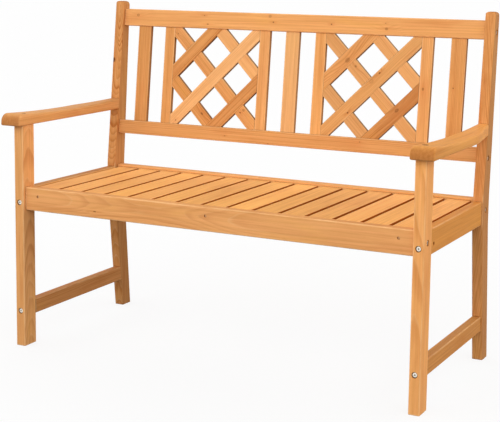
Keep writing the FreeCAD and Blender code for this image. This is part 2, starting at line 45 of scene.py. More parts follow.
MILLIMETRE = 0.001
BACK_LEAN = math.radians(6.15)
FORWARD = Vector((0.0, -1.0, 0.0))
BACKWARD = Vector((0.0, 1.0, 0.0))
RIGHTWARD = Vector((1.0, 0.0, 0.0))
UPWARD = Vector((0.0, 0.0, 1.0))
BACK_UP = Vector((0.0, math.sin(BACK_LEAN), math.cos(BACK_LEAN)))
BACK_OUT = Vector((0.0, -math.cos(BACK_LEAN), math.sin(BACK_LEAN)))
WHITE = (1.0, 1.0, 1.0)
MIDWAY = 0.5

# Numbers of the sockets of a Mix node that blends colours, because their names aren't unique
MIX_SHARE = 0
MIX_FIRST = 6
MIX_SECOND = 7
MIX_RESULT = 2


def linear(red: float, green: float, blue: float) -> Triple:
    """Turn a colour as a screen shows it into the linear one that the nodes take.

    Each part follows the standard curve of screens: a straight toe, and then an offset power of 2.4.

    Args:
        red: Red from 0 to 255.
        green: Green from 0 to 255.
        blue: Blue from 0 to 255.

    Returns:
        The linear red, green and blue, from 0 to 1.
    """
    shown = np.array((red, green, blue)) / 255
    made = np.where(shown <= 0.04045, shown / 12.92, ((shown + 0.055) / 1.055) ** 2.4)
    return tuple(float(part) for part in made)


class Signal:
    """A number, colour or vector that changes over a surface, carried by one output socket."""

    def __init__(self, nodes: "Nodes", socket: bpy.types.NodeSocket) -> None:
        """Keep the nodes that the socket belongs to, and the socket."""
        self.nodes = nodes
        self.socket = socket

    def math(self, operation: str, *terms: Value) -> "Signal":
        """Add one Math node.

        Args:
            operation: Name of the node's operation.
            terms: The values or signals that it works on.

        Returns:
            The node's result.
        """
        return self.nodes.add("ShaderNodeMath", {"operation": operation}, dict(enumerate(terms)))[0]

    def __add__(self, other: Value) -> "Signal":
        """Return the sum."""
        return self.math("ADD", self, other)

    def __radd__(self, other: Value) -> "Signal":
        """Return the sum with the number on the left."""
        return self.math("ADD", other, self)

    def __sub__(self, other: Value) -> "Signal":
        """Return the difference."""
        return self.math("SUBTRACT", self, other)

    def __rsub__(self, other: Value) -> "Signal":
        """Return the difference with the number on the left."""
        return self.math("SUBTRACT", other, self)

    def __mul__(self, other: Value) -> "Signal":
        """Return the product."""
        return self.math("MULTIPLY", self, other)

    def __rmul__(self, other: Value) -> "Signal":
        """Return the product with the number on the left."""
        return self.math("MULTIPLY", other, self)

    def __truediv__(self, other: Value) -> "Signal":
        """Return the quotient."""
        return self.math("DIVIDE", self, other)

    def __rtruediv__(self, other: Value) -> "Signal":
        """Return the quotient with the number on the left."""
        return self.math("DIVIDE", other, self)

    def __pow__(self, other: Value) -> "Signal":
        """Return the power."""
        return self.math("POWER", self, other)

    def __rpow__(self, other: Value) -> "Signal":
        """Return the power with the number on the left."""
        return self.math("POWER", other, self)

    def __abs__(self) -> "Signal":
        """Return the size without its sign."""
        return self.math("ABSOLUTE", self)

    def floor(self) -> "Signal":
        """Return the whole number below."""
        return self.math("FLOOR", self)

    def most(self, other: Value) -> "Signal":
        """Return the larger of two values."""
        return self.math("MAXIMUM", self, other)

    def hypot(self, other: "Signal") -> "Signal":
        """Return the distance that two lengths at right angles span."""
        return (self * self + other * other) ** 0.5

    def rise(self, low: float, high: float) -> "Signal":
        """Ease from 0 at one level to 1 at another.

        Args:
            low: Level where the result is 0.
            high: Level where the result is 1, which may lie below the other.

        Returns:
            The eased signal, from 0 to 1.
        """
        ends = {"Value": self, "From Min": low, "From Max": high}
        return self.nodes.add("ShaderNodeMapRange", {"interpolation_type": "SMOOTHSTEP"}, ends)["Result"]


class Made:
    """A node that was added, whose outputs are signals."""

    def __init__(self, nodes: "Nodes", node: bpy.types.Node) -> None:
        """Keep the nodes that it stands among, and the node."""
        self.nodes = nodes
        self.node = node

    def __getitem__(self, output: Union[str, int]) -> Signal:
        """Return one output by its name or number."""
        return Signal(self.nodes, self.node.outputs[output])


@dataclass(frozen=True)
class Layer:
    """One layer of noise.

    Attributes:
        size: Millimetres that its features measure along the grain, across the face and into the board.
        detail: How many finer layers it has.
        strength: How far it moves what it is added to.
    """

    size: Triple
    detail: float = 1.0
    strength: float = 1.0


class Nodes:
    """The nodes of one material or of the world."""

    def __init__(self, tree: bpy.types.NodeTree) -> None:
        """Start with an empty tree."""
        self.tree = tree
        self.tree.nodes.clear()

    def add(self, kind: str, settings: dict[str, object], inputs: dict[Union[str, int], Value]) -> Made:
        """Add one node.

        Args:
            kind: Blender's name of the node type.
            settings: The node's own settings, which are set first.
            inputs: A value or a signal for each input socket that isn't left as it is.

        Returns:
            The node with its outputs.
        """
        node = self.tree.nodes.new(kind)
        for name, value in settings.items():
            setattr(node, name, value)
        for name, value in inputs.items():
            if isinstance(value, Signal):
                self.tree.links.new(value.socket, node.inputs[name])
            else:
                node.inputs[name].default_value = value
        return Made(self, node)

    def coordinate(self, kind: str) -> Signal:
        """Return one kind of texture coordinate."""
        return self.add("ShaderNodeTexCoord", {}, {})[kind]

    def vector(self, operation: str, inputs: dict[Union[str, int], Value], output: str = "Vector") -> Signal:
        """Return one output of a Vector Math node."""
        return self.add("ShaderNodeVectorMath", {"operation": operation}, inputs)[output]

    def parts(self, vector: Signal) -> tuple[Signal, Signal, Signal]:
        """Return the three parts of a vector."""
        split = self.add("ShaderNodeSeparateXYZ", {}, {"Vector": vector})
        return split["X"], split["Y"], split["Z"]

    def noise(self, place: Signal, layer: Layer) -> Made:
        """Add smooth noise.

        Args:
            place: Where it is read, in millimetres.
            layer: Size and detail of its features.

        Returns:
            The noise node, with a value from 0 to 1 and a colour.
        """
        spread = self.vector("MULTIPLY", {0: place, 1: tuple(1 / length for length in layer.size)})
        inputs = {"Vector": spread, "Scale": 1.0, "Detail": layer.detail}
        return self.add("ShaderNodeTexNoise", {"noise_dimensions": "3D"}, inputs)

    def sway(self, place: Signal, layer: Layer) -> Signal:
        """Return noise around 0, as strong as its layer says."""
        return (self.noise(place, layer)["Fac"] - MIDWAY) * layer.strength

    def mix(self, share: Value, first: Value, second: Value) -> Signal:
        """Blend two colours.

        Args:
            share: How much of the second colour, from 0 to 1.
            first: Colour or signal at 0.
            second: Colour or signal at 1.

        Returns:
            The blended colour.
        """
        ends = [end if isinstance(end, Signal) else (*end, 1.0) for end in (first, second)]
        inputs = {MIX_SHARE: share, MIX_FIRST: ends[0], MIX_SECOND: ends[1]}
        return self.add("ShaderNodeMix", {"data_type": "RGBA"}, inputs)[MIX_RESULT]


class Surface(Nodes):
    """One material."""

    def __init__(self, name: str) -> None:
        """Start a material with no nodes.

        Args:
            name: Name of the material.
        """
        self.material = bpy.data.materials.new(name)
        self.material.use_nodes = True
        super().__init__(self.material.node_tree)

    def finish(self, shader: Signal) -> bpy.types.Material:
        """Plug a shader into the material's output and return the material."""
        self.add("ShaderNodeOutputMaterial", {}, {"Surface": shader})
        return self.material


class Side(Enum):
    """The bench's two ends, as the viewer in front of it sees them."""

    LEFT = -1
    RIGHT = 1

    @property
    def word(self) -> str:
        """The side's word in the names of the pieces."""
        return self.name.lower()


class Cut(Enum):
    """How a board lay in its log: millimetres from the log's heart, across and behind the broad face."""

    HEART = (2.0, 32.0)
    FLAT = (3.0, 80.0)
    RIFT = (62.0, 58.0)
    QUARTER = (105.0, 14.0)


class Axis(Enum):
    """A board's own axes, as the rows of its turn."""

    ALONG = 0
    ACROSS = 1
    OUT = 2


class Slope(Enum):
    """The two ways in which the lattice bars lean, as the sign of their rise to the right."""

    RISING = 1
    FALLING = -1


@dataclass(frozen=True)
class Knot:
    """A branch that the board cuts through.

    Attributes:
        along: Millimetres from the board's middle along the grain.
        across: Millimetres from the board's middle across the grain.
        radius: Radius of the branch in millimetres.
        depth: How dark it is, from 0 to 1.
        stretch: Length along the grain beside its width.
        hollow: How much paler its heart is, from 0 to 1.
    """

    along: float
    across: float
    radius: float
    depth: float = 0.8
    stretch: float = 1.25
    hollow: float = 0.0


@dataclass(frozen=True)
class Bore:
    """A round hole in the board's face, with painted shade and soiling inside it and round its rim.

    Attributes:
        along: Millimetres from the board's middle along the grain.
        across: Millimetres from the board's middle across the grain.
        radius: Radius of the painted shade and soiling in millimetres.
        depth: How dark it is, from 0 to 1.
    """

    along: float
    across: float
    radius: float
    depth: float


@dataclass(frozen=True)
class Board:
    """How one board's grain runs and how its piece of wood differs from the rest.

    Attributes:
        run: Direction of the grain.
        face: Direction that the broad face looks in.
        cut: How the board lay in its log.
        offset: Millimetres that the log's heart lies further across than the cut says.
        climb: Millimetres that the log's heart comes nearer per millimetre along the board.
        hump: Millimetres that the heart lies deeper at the crown of the board's figure.
        crown: Place of that crown along the board, from its middle.
        tone: Brightness beside the average board.
        fade: How much brighter the board is at the end that its grain runs to, and darker at the other; on
            the legs this is painted shade, darker towards the floor.
        gold: Share of the golden tone, and below 0 of the red one.
        amber: Share of the deep yellow tone.
        blond: Share of the pale tone.
        figure: Strength of the growth rings beside the average board.
        edge: Painted light and shade on the narrow edges: their brightness beside the broad faces.
        shaded: Share of the painted deep, saturated shade on the narrow edges.
        wear: How far its arrises are rubbed, and lit by a painted highlight, beside the average board's.
        seed: Number that sets the board's own pattern.
        knots: Branches that show on it.
        bores: Holes with painted shade and soiling inside.
    """

    run: Vector
    face: Vector
    cut: Cut = Cut.RIFT
    offset: float = 0.0
    climb: float = 0.012
    hump: float = 0.0
    crown: float = 0.0
    tone: float = 1.0
    fade: float = 0.0
    gold: float = 0.0
    amber: float = 0.0
    blond: float = 0.0
    figure: float = 1.0
    edge: float = 1.0
    shaded: float = 0.0
    wear: float = 1.0
    seed: int = 0
    knots: tuple[Knot, ...] = ()
    bores: tuple[Bore, ...] = ()


@dataclass(frozen=True)
class Stain:
    """How one board of the back differs in colour.

    Attributes:
        tone: Brightness beside the average board.
        gold: Share of the golden tone, and below 0 of the red one.
        blond: Share of the pale tone.
        figure: Strength of the growth rings beside the average board.
    """

    tone: float = 0.84
    gold: float = 0.0
    blond: float = 0.0
    figure: float = 1.0


@dataclass(frozen=True)
class Rings:
    """The wood's growth rings, with places in a ring counted outwards from 0 to 1.

    Attributes:
        width: Millimetres from one ring to the next.
        unevenness: Rings that come early or late where growth was slow or fast.
        pace: Millimetres over which slow and fast growth change.
        hump_reach: Millimetres along the board over which a hump in its figure dies away.
        least: Strength of the faintest ring beside the strongest.
        late_rise: Places where the late wood starts and where it is full.
        late_stop: Places where it is gone and where it is still full.
        late_share: Share of the late wood's colour at its darkest.
        pale_rise: Places where the pale line starts and where it is full.
        pale_stop: Places where it is gone and where it is still full.
        pale_share: Share of the pale tone in that line.
    """

    width: float = 3.6
    unevenness: float = 2.4
    pace: float = 17.0
    hump_reach: float = 400.0
    least: float = 0.3
    late_rise: Pair = (0.25, 0.85)
    late_stop: Pair = (1.0, 0.9)
    late_share: float = 0.75
    pale_rise: Pair = (0.82, 0.94)
    pale_stop: Pair = (1.0, 0.96)
    pale_share: float = 0.4


@dataclass(frozen=True)
class Branches:
    """The wood in and round a knot, with distances in radii of the branch.

    Attributes:
        heart: Distances where the paler heart ends and where it is full.
        rim: Distances where the dark core ends and where it is full.
        halo: Distances where the red halo ends and where it is full.
        halo_share: Strength of the halo beside the core.
        trail: Share of a distance along the grain that counts for the halo and the rings.
        swell: Distances where the rings start to stand off and where they stand off most.
        swell_height: How far they stand off.
    """

    heart: Pair = (0.75, 0.25)
    rim: Pair = (1.15, 0.6)
    halo: Pair = (2.6, 0.6)
    halo_share: float = 0.5
    trail: float = 0.3464
    swell: Pair = (4.0, 0.0)
    swell_height: float = 1.6


@dataclass(frozen=True)
class Timber:
    """The oiled wood of the bench: its colours, and the sizes of its grain.

    A pair of levels says where an effect is none and where it is full. Lengths are in millimetres, apart
    from the reach of the painted shade in the joints and the relief, which are in metres.
    """

    early: Triple = linear(241, 173, 105)
    late: Triple = linear(206, 128, 64)
    pale: Triple = linear(250, 200, 142)
    golden: Triple = linear(244, 178, 94)
    amber: Triple = linear(232, 154, 64)
    red: Triple = linear(216, 132, 70)
    # painted shade colour for the narrow edges
    shade: Triple = linear(184, 98, 28)
    knot: Triple = linear(96, 44, 16)
    # painted shade for the joints, where the surface sees little sky
    end: Triple = linear(186, 116, 60)
    grime: Triple = linear(88, 44, 16)
    # painted shade and soiling in the screw holes
    soot: Triple = linear(34, 16, 7)
    lit_tint: Triple = (1.34, 1.43, 1.62)
    dim_tint: Triple = (0.7, 0.55, 0.32)
    rings: Rings = Rings()
    branches: Branches = Branches()
    drift: Layer = Layer((420.0, 120.0, 120.0), 2.0, 14.0)
    ripple: Layer = Layer((60.0, 14.0, 14.0), 1.0, 1.3)
    streaks: Layer = Layer((260.0, 6.0, 6.0), 3.0, 0.65)
    fibres: Layer = Layer((45.0, 0.7, 0.7), 2.0, 0.24)
    clouds: Layer = Layer((170.0, 38.0, 38.0), 2.0)
    pores: Layer = Layer((9.0, 0.5, 0.5), 1.0)
    rubs: Layer = Layer((40.0, 12.0, 12.0), 2.0)
    seed_reach: float = 900.0
    red_levels: Pair = (0.52, 0.8)
    golden_levels: Pair = (0.48, 0.2)
    cloud_share: float = 0.5
    pore_levels: Pair = (0.62, 0.74)
    pore_shade: float = 0.12
    rub_levels: Pair = (0.3, 0.6)
    least_rub: float = 0.3
    # rubbing and painted highlight on the arrises
    arris: float = 3.6
    arris_solid: float = 0.4
    arris_share: float = 0.6
    end_levels: Pair = (0.25, 1.0)
    end_share: float = 0.75
    edge_levels: Pair = (0.4, 0.8)
    # reach, rays, levels and share of the painted shade in the joints
    joint: float = 0.004
    joint_rays: int = 6
    joint_levels: Pair = (0.75, 0.35)
    joint_share: float = 0.85
    bore_rim: float = 1.05
    roughness: float = 0.55
    streak_roughness: float = 0.4
    end_roughness: float = 0.2
    late_smoothness: float = 0.06
    gloss: float = 0.03
    relief: float = 0.00022
    relief_share: float = 0.6
    fibre_height: float = 3.0
    late_depth: float = 0.35
    pore_depth: float = 0.6
    knot_depth: float = 0.5

    def material(self, name: str, board: Board) -> bpy.types.Material:
        """Make the wood of one board."""
        return BoardWood(self, name, board).made()


class BoardWood(Surface):
    """The wood of one board, read in millimetres from its middle: along the grain, across it and out."""

    def __init__(self, timber: Timber, name: str, board: Board) -> None:
        """Lay the board's own axes and the patterns that several of its looks share.

        Args:
            timber: The finish.
            name: Name of the piece.
            board: The board's grain.
        """
        super().__init__(name + "_wood")
        self.timber = timber
        self.board = board
        self.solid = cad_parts[name]
        low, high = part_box(name)
        self.middle = (low + high) / 2
        out = board.face.normalized()
        run = board.run.normalized()
        self.axes = Matrix((run, out.cross(run), out))
        inputs = {
            "Vector": self.coordinate("Object"),
            "Location": self.middle,
            "Rotation": self.axes.transposed().to_euler(),
            "Scale": (MILLIMETRE,) * 3,
        }
        place = self.add("ShaderNodeMapping", {"vector_type": "TEXTURE"}, inputs)["Vector"]
        self.along, self.across, self.out = self.parts(place)
        shift = np.random.default_rng(board.seed).uniform(-timber.seed_reach, timber.seed_reach, 3)
        self.spot = self.vector("ADD", {0: place, 1: shift.tolist()})
        self.normal = self.coordinate("Normal")
        self.half = self.reach()
        self.streak = self.sway(self.spot, timber.streaks)
        self.fibre = self.sway(self.spot, timber.fibres)
        self.pore = self.noise(self.spot, timber.pores)["Fac"].rise(*timber.pore_levels)
        self.ended = self.facing(Axis.ALONG).rise(*timber.end_levels)
        # mask of the narrow edges, where light and shade are painted
        self.edged = self.facing(Axis.ACROSS).rise(*timber.edge_levels)

    def reach(self) -> list[float]:
        """Measure the board's solid.

        Returns:
            Half its length, width and thickness in millimetres.
        """
        points = np.empty(len(self.solid.data.vertices) * 3)
        self.solid.data.vertices.foreach_get("co", points)
        local = (points.reshape(-1, 3) - np.array(self.middle)) @ np.array(self.axes).T
        return (np.abs(local).max(axis=0) / MILLIMETRE).tolist()

    def facing(self, axis: Axis) -> Signal:
        """Return how squarely the surface looks along one of the board's axes, from 0 to 1."""
        turned = {0: self.normal, 1: tuple(self.axes[axis.value])}
        return abs(self.vector("DOT_PRODUCT", turned, "Value"))

    def knots(self) -> tuple[Signal, Signal, Signal]:
        """Add up the board's knots.

        Each is an ellipse stretched along the grain. Its core is dark, a red halo reaches further along the
        grain, and the rings swell around it as a bell curve does.

        Returns:
            How far the rings swell, in millimetres, and the strengths of the core and the halo.
        """
        look = self.timber.branches
        swell = core = halo = self.along * 0.0
        for knot in self.board.knots:
            aside = (self.across - knot.across) / knot.radius
            onward = (self.along - knot.along) / (knot.radius * knot.stretch)
            far = aside.hypot(onward)
            trail = aside.hypot(onward * look.trail)
            heart = 1 - far.rise(*look.heart) * knot.hollow
            core = core.most(far.rise(*look.rim) * heart * knot.depth)
            halo = halo.most(trail.rise(*look.halo) * (look.halo_share * knot.depth))
            swell = swell + trail.rise(*look.swell) * (knot.radius * look.swell_height)
        return swell, core, halo

    def rings(self, swell: Signal) -> tuple[Signal, Signal]:
        """Work out the growth rings.

        They are cylinders around the log's heart, which runs nearly along the board. The distance from it,
        with slow noise added, is counted in ring widths. Each ring darkens to its late wood and stops, and a
        pale line follows.

        Args:
            swell: How far the rings stand off round knots, in millimetres.

        Returns:
            The shares of late wood and of the pale line, from 0 to 1.
        """
        look, drift, board = self.timber.rings, self.timber.drift, self.board
        heart_across, heart_behind = board.cut.value
        drift_across, drift_behind, _ = self.parts(self.noise(self.spot, drift)["Color"])
        aside = self.across + (heart_across + board.offset) + (drift_across - MIDWAY) * drift.strength
        depth = self.out + heart_behind - self.along * board.climb
        depth = depth + (drift_behind - MIDWAY) * drift.strength
        if board.hump:
            depth = depth + abs(self.along - board.crown).rise(look.hump_reach, 0.0) * board.hump
        radius = aside.hypot(depth) + swell + self.sway(self.spot, self.timber.ripple)
        one_way = {"noise_dimensions": "1D"}
        inputs = {"W": radius / look.pace + board.seed, "Scale": 1.0, "Detail": 1.0}
        pace = self.add("ShaderNodeTexNoise", one_way, inputs)["Fac"]
        years = radius / look.width + pace * look.unevenness
        ring = years.floor()
        phase = years - ring
        luck = self.add("ShaderNodeTexWhiteNoise", one_way, {"W": ring + board.seed})["Value"]
        strength = luck * (1 - look.least) + look.least
        late = phase.rise(*look.late_rise) * phase.rise(*look.late_stop) * strength
        pale = phase.rise(*look.pale_rise) * phase.rise(*look.pale_stop) * (1 - luck)
        return late, pale

    def worn(self) -> Signal:
        """Work out the rubbed arrises and their painted highlight: the oil is rubbed off, and a highlight is
        painted, where two faces of the board meet.

        Returns:
            The rubbing and painted highlight, from 0 to 1.
        """
        timber = self.timber
        gaps = [half - abs(place) for half, place in zip(self.half, (self.along, self.across, self.out))]
        nearest_two = gaps[0] + gaps[1] + gaps[2] - gaps[0].most(gaps[1]).most(gaps[2])
        rubbed = self.noise(self.spot, timber.rubs)["Fac"].rise(*timber.rub_levels)
        rubbed = rubbed * (1 - timber.least_rub) + timber.least_rub
        return nearest_two.rise(timber.arris, timber.arris * timber.arris_solid) * rubbed

    def toned(self, late: Signal, pale: Signal) -> Signal:
        """Colour the rings, and lay the board's own tones over them.

        Args:
            late: Share of late wood.
            pale: Share of the pale line.

        Returns:
            The colour of clear wood.
        """
        timber, board = self.timber, self.board
        cloud = self.noise(self.spot, timber.clouds)["Fac"]
        colour = self.mix(late * (timber.rings.late_share * board.figure), timber.early, timber.late)
        colour = self.mix(pale * (timber.rings.pale_share * board.figure), colour, timber.pale)
        if board.gold:
            colour = self.mix(abs(board.gold), colour, timber.golden if board.gold > 0 else timber.red)
        colour = self.mix(cloud.rise(*timber.red_levels) * timber.cloud_share, colour, timber.red)
        colour = self.mix(cloud.rise(*timber.golden_levels) * timber.cloud_share, colour, timber.golden)
        for share, tone in ((board.amber, timber.amber), (board.blond, timber.pale)):
            if share:
                colour = self.mix(share, colour, tone)
        return colour

    def lit(self, colour: Signal) -> Signal:
        """Make streaks, fibres and pores lighter or darker, paint light and shade on the narrow edges, and
        scale by the board's tone and fade.

        Args:
            colour: The wood's colour.

        Returns:
            The colour with its lights and darks.
        """
        timber, board = self.timber, self.board
        share = MIDWAY - self.streak - self.fibre + self.pore * timber.pore_shade
        tint = self.mix(share, timber.lit_tint, timber.dim_tint)
        # painted light and shade on the narrow edges, times the board's tone
        light = (1 - self.edged * (1 - board.edge)) * board.tone
        # painted shade along the board: the legs are darker towards the floor
        if board.fade:
            light = light * (1 + self.along * (board.fade / self.half[Axis.ALONG.value]))
        colour = self.vector("MULTIPLY", {0: colour, 1: tint})
        return self.vector("SCALE", {0: colour, "Scale": light})

    def soiled(self, colour: Signal) -> Signal:
        """Paint shade into the joints, where the surface sees little sky, and paint shade and soiling into
        the bores.

        Args:
            colour: The wood's colour.

        Returns:
            The colour with its painted shade and soiling.
        """
        timber = self.timber
        rays = {"samples": timber.joint_rays}
        # painted shade: darker where the surface sees little sky within the joint's reach
        sky = self.add("ShaderNodeAmbientOcclusion", rays, {"Distance": timber.joint})["AO"]
        colour = self.mix(sky.rise(*timber.joint_levels) * timber.joint_share, colour, timber.grime)
        for bore in self.board.bores:
            far = (self.across - bore.across).hypot(self.along - bore.along)
            # painted shade and soiling in and round the bore
            dirt = far.rise(bore.radius * timber.bore_rim, bore.radius) * bore.depth
            colour = self.mix(dirt, colour, timber.soot)
        return colour

    def made(self) -> bpy.types.Material:
        """Lay the colours over one another, and finish the material.

        Returns:
            The material.
        """
        timber, board = self.timber, self.board
        swell, core, halo = self.knots()
        late, pale = self.rings(swell)
        colour = self.toned(late, pale)
        colour = self.mix(halo, colour, timber.red)
        colour = self.mix(self.ended * timber.end_share, colour, timber.end)
        colour = self.mix(core, colour, timber.knot)
        # rubbed oil and a painted highlight on the arrises
        colour = self.mix(self.worn() * (timber.arris_share * board.wear), colour, timber.pale)
        # painted deep shade on the narrow edges
        colour = self.mix(self.edged * board.shaded, colour, timber.shade)
        height = self.fibre * timber.fibre_height - late * timber.late_depth
        height = height - self.pore * timber.pore_depth - core * timber.knot_depth
        relief = {"Strength": timber.relief_share, "Distance": timber.relief, "Height": height}
        rough = timber.roughness + self.streak * timber.streak_roughness
        rough = rough + self.ended * timber.end_roughness - late * timber.late_smoothness
        inputs = {
            "Base Color": self.soiled(self.lit(colour)),
            "Roughness": rough,
            "Normal": self.add("ShaderNodeBump", {}, relief)["Normal"],
            "Specular IOR Level": timber.gloss,
        }
        return self.finish(self.add("ShaderNodeBsdfPrincipled", {}, inputs)["BSDF"])


@dataclass(frozen=True)
class Plating:
    """The coat of the steel fasteners, with painted shade and soiling in their sockets. Its noise is in
    millimetres.
    """

    bright: Triple = linear(248, 243, 232)
    dull: Triple = linear(196, 190, 178)
    # painted shade and soiling for the sockets
    dirt: Triple = linear(38, 30, 24)
    clouds: Layer = Layer((2.4, 2.4, 2.4), 3.0, 0.2)
    scratches: Layer = Layer((3.0, 0.25, 0.25), 1.0, 0.1)
    cloud_levels: Pair = (-0.02, 0.05)
    corner: float = 0.0035
    corner_rays: int = 8
    corner_levels: Pair = (0.75, 0.35)
    roughness: float = 0.42
    metal: float = 1.0

    def material(self, name: str) -> bpy.types.Material:
        """Make the coat of one group of fasteners.

        Args:
            name: Name of the piece.

        Returns:
            The material.
        """
        surface = Surface(name + "_zinc")
        spot = surface.vector("SCALE", {0: surface.coordinate("Object"), "Scale": 1 / MILLIMETRE})
        cloud = surface.sway(spot, self.clouds)
        rays = {"samples": self.corner_rays}
        # painted shade: darker where the steel sees little sky, in its sockets
        sky = surface.add("ShaderNodeAmbientOcclusion", rays, {"Distance": self.corner})["AO"]
        colour = surface.mix(cloud.rise(*self.cloud_levels), self.bright, self.dull)
        colour = surface.mix(sky.rise(*self.corner_levels), colour, self.dirt)
        rough = self.roughness + cloud + surface.sway(spot, self.scratches)
        inputs = {"Base Color": colour, "Roughness": rough, "Metallic": self.metal}
        return surface.finish(surface.add("ShaderNodeBsdfPrincipled", {}, inputs)["BSDF"])


def dress(name: str, material: bpy.types.Material) -> None:
    """Put a material on one of the bench's solids and say so.

    Args:
        name: Name of the piece.
        material: Its finish.
    """
    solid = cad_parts[name]
    solid.data.materials.clear()
    solid.data.materials.append(material)
    log.info("dressed %s with %s", name, material.name)


@dataclass
class SideFrame:
    """One end of the bench: two legs, the arm on them, the side rail and the stretcher."""

    side: Side
    timber: Timber
    front_leg: Board
    back_leg: Board
    arm: Board
    side_rail: Board
    stretcher: Board

    @staticmethod
    def bore(side: Side, rim: float, depth: float) -> Bore:
        """Find the screw hole on top of an arm.

        Args:
            side: The bench's end that the arm is on.
            rim: Millimetres that the painted shade and soiling reach around the screw's head.
            depth: How dark the hole is, from 0 to 1.

        Returns:
            The hole, measured along and across the arm from its middle.
        """
        arm_low, arm_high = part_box(f"arm_{side.word}")
        low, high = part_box("arm_screws")
        head = (high.y - low.y) / 2
        place = Vector((side.value * (high.x - head), low.y + head, 0.0)) - (arm_low + arm_high) / 2
        return Bore(place.y / MILLIMETRE, -place.x / MILLIMETRE, head / MILLIMETRE + rim, depth)

    @classmethod
    def left(cls, timber: Timber) -> "SideFrame":
        """Choose the boards of the left end.

        Args:
            timber: The finish of all the boards.

        Returns:
            The left end, ready to be dressed.
        """
        return cls(
            Side.LEFT,
            timber,
            front_leg=Board(
                UPWARD,
                RIGHTWARD,
                cut=Cut.FLAT,
                climb=-0.06,
                tone=0.87,
                fade=0.06,
                blond=0.15,
                figure=1.2,
                edge=0.98,
                wear=1.4,
                seed=101,
            ),
            back_leg=Board(
                UPWARD,
                FORWARD,
                cut=Cut.HEART,
                climb=0.06,
                tone=0.71,
                fade=0.14,
                gold=-0.1,
                figure=1.6,
                edge=0.88,
                seed=102,
                knots=(Knot(285.5, 10.5, 5.0, 0.85, 1.6),),
            ),
            arm=Board(
                BACKWARD,
                UPWARD,
                tone=0.82,
                fade=-0.06,
                amber=0.15,
                blond=0.2,
                wear=0.4,
                seed=103,
                bores=(cls.bore(Side.LEFT, rim=1.3, depth=0.7),),
            ),
            side_rail=Board(BACKWARD, RIGHTWARD, Cut.QUARTER, tone=0.9, amber=0.3, edge=0.7, seed=104),
            stretcher=Board(BACKWARD, RIGHTWARD, tone=0.66, gold=-0.3, seed=105),
        )

    @classmethod
    def right(cls, timber: Timber) -> "SideFrame":
        """Choose the boards of the right end.

        Args:
            timber: The finish of all the boards.

        Returns:
            The right end, ready to be dressed.
        """
        return cls(
            Side.RIGHT,
            timber,
            front_leg=Board(
                UPWARD,
                FORWARD,
                cut=Cut.FLAT,
                offset=-12.0,
                climb=-0.02,
                tone=0.97,
                fade=0.05,
                edge=1.06,
                seed=201,
            ),
            back_leg=Board(UPWARD, FORWARD, tone=0.8, fade=0.08, gold=-0.15, edge=0.8, seed=202),
            arm=Board(
                BACKWARD,
                UPWARD,
                tone=0.93,
                fade=0.08,
                gold=0.3,
                amber=0.3,
                wear=0.4,
                seed=203,
                bores=(cls.bore(Side.RIGHT, rim=2.8, depth=1.0),),
            ),
            side_rail=Board(BACKWARD, RIGHTWARD, Cut.QUARTER, tone=0.84, amber=0.65, seed=204),
            stretcher=Board(BACKWARD, RIGHTWARD, tone=0.72, amber=0.4, seed=205),
        )

    def dress(self) -> None:
        """Give each board of this end its wood."""
        for place in ("front_leg", "back_leg", "arm", "side_rail", "stretcher"):
            name = f"{place}_{self.side.word}"
            dress(name, self.timber.material(name, getattr(self, place)))


@dataclass
class Seat:
    """The seat: apron, rear rail, slats from front to back and the battens under them."""

    timber: Timber
    gloss_share: float = 0.25
    seed: int = 300
    slats: int = 15
    slat_seed: int = 310
    slat_tone: float = 1.03
    slat_gold: Pair = (0.5, 1.0)
    slat_blond: float = 0.2
    slat_figure: float = 0.8
    # painted light and shade on the slats' narrow edges
    slat_edge: float = 0.8
    slat_shade: float = 1.0
    tone_spread: float = 0.09
    climb_spread: float = 0.03
    apron_knots: tuple[Knot, ...] = (Knot(-328.0, -13.5, 1.6, 0.7, 3.0),)

    def boards(self) -> dict[str, Board]:
        """Choose the boards of the seat.

        Returns:
            The grain of each board, by its name.
        """
        level = Board(RIGHTWARD, FORWARD, seed=self.seed)
        made = {
            "front_apron": replace(
                level,
                cut=Cut.FLAT,
                offset=-15.0,
                climb=0.0,
                hump=15.0,
                crown=-198.0,
                tone=0.92,
                gold=-0.25,
                blond=0.2,
                wear=1.5,
                knots=self.apron_knots,
            ),
            "rear_seat_rail": replace(level, cut=Cut.QUARTER, tone=0.88, blond=0.1, seed=self.seed + 1),
        }
        for place in ("front", "middle", "rear"):
            made[f"seat_batten_{place}"] = replace(level, seed=self.seed + len(made))
        draw = np.random.default_rng(self.seed)
        cuts = list(Cut)
        for number in range(1, self.slats + 1):
            made[f"seat_slat_{number:02d}"] = Board(
                BACKWARD,
                UPWARD,
                cut=cuts[int(draw.integers(len(cuts)))],
                climb=float(draw.uniform(-self.climb_spread, self.climb_spread)),
                tone=self.slat_tone + float(draw.uniform(-self.tone_spread, self.tone_spread)),
                gold=float(draw.uniform(*self.slat_gold)),
                blond=self.slat_blond,
                figure=self.slat_figure,
                edge=self.slat_edge,
                shaded=self.slat_shade,
                seed=self.slat_seed + number,
            )
        return made

    def dress(self) -> None:
        """Give each board of the seat its wood, duller than the rest."""
        timber = replace(self.timber, gloss=self.timber.gloss * self.gloss_share)
        for name, board in self.boards().items():
            dress(name, timber.material(name, board))


